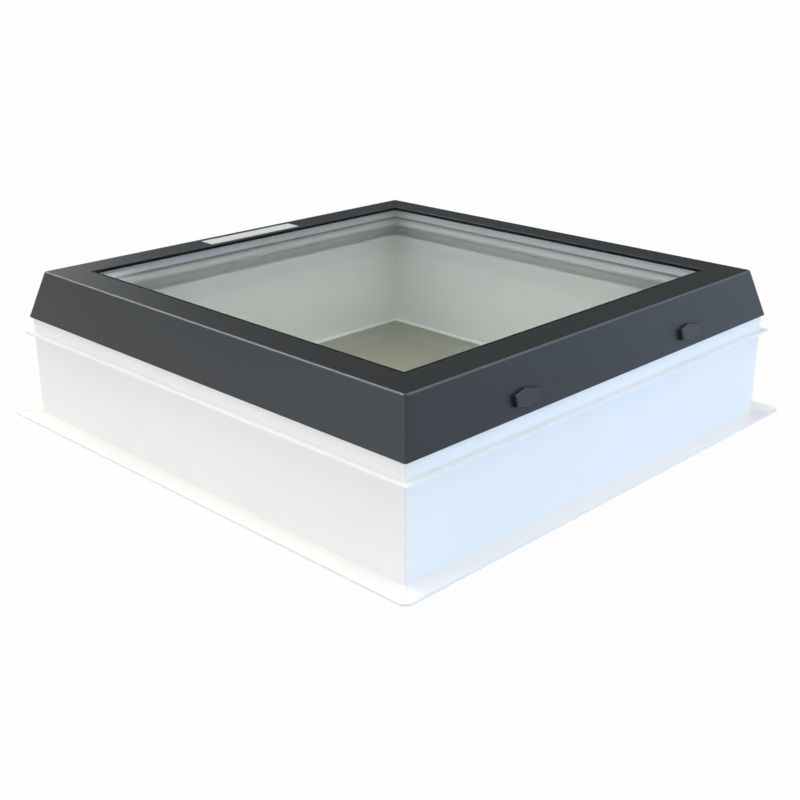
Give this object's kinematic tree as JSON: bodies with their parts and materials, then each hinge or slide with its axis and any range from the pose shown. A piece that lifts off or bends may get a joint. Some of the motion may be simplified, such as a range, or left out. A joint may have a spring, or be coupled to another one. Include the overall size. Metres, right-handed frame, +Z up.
{
  "type": "roof skylight",
  "caption": "Fixed flat-glass roof skylight: anthracite aluminium cover frame and sealed glass unit on a white hollow-section kerb with a drip fin and a roof flange.",
  "frame": {"origin": "centre of the kerb, on the underside of the roof flange", "axes": "+Z up out of the roof, +X towards the capped side that the picture shows on its right, -Y towards the plain side that it shows on its left"},
  "size_m": [0.791, 0.791, 0.2123],
  "materials": {
    "kerb_pvc": "satin white extruded PVC",
    "sash_pvc": "satin white extruded PVC",
    "cover_aluminium": "satin anthracite powder coat on extruded aluminium",
    "cleat_aluminium": "mill finish",
    "spacer_aluminium": "bright rolled strip",
    "black_rubber": "matt extruded rubber",
    "edge_sealant": "matt cured sealant",
    "clear_glass": "clear float glass, polished faces",
    "block_plastic": "moulded packers",
    "sleeve_plastic": "moulded tube",
    "cap_plastic": "satin moulded anthracite plastic",
    "screw_steel": "plain stainless steel",
    "label_film": "blank white film"
  },
  "bodies": {
    "root": {"blank_label": "label_film", "cap_bases": "cap_plastic", "corner_cleat_left_back": "cleat_aluminium", "corner_cleat_left_front": "cleat_aluminium", "corner_cleat_right_back": "cleat_aluminium", "corner_cleat_right_front": "cleat_aluminium", "cover_bar_back": "cover_aluminium", "cover_bar_front": "cover_aluminium", "cover_bar_left": "cover_aluminium", "cover_bar_right": "cover_aluminium", "cover_cap_left_back": "cap_plastic", "cover_cap_left_front": "cap_plastic", "cover_cap_right_back": "cap_plastic", "cover_cap_right_front": "cap_plastic", "edge_sealant": "edge_sealant", "fixing_screws": "screw_steel", "fixing_sleeves": "sleeve_plastic", "glazing_tape": "black_rubber", "inner_pane": "clear_glass", "kerb_rail_back": "kerb_pvc", "kerb_rail_front": "kerb_pvc", "kerb_rail_left": "kerb_pvc", "kerb_rail_right": "kerb_pvc", "kerb_seal": "black_rubber", "outer_gasket": "black_rubber", "outer_pane": "clear_glass", "sash_rail_back": "sash_pvc", "sash_rail_front": "sash_pvc", "sash_rail_left": "sash_pvc", "sash_rail_right": "sash_pvc", "setting_blocks": "block_plastic", "spacer_bar": "spacer_aluminium"}
  },
  "joints": []
}
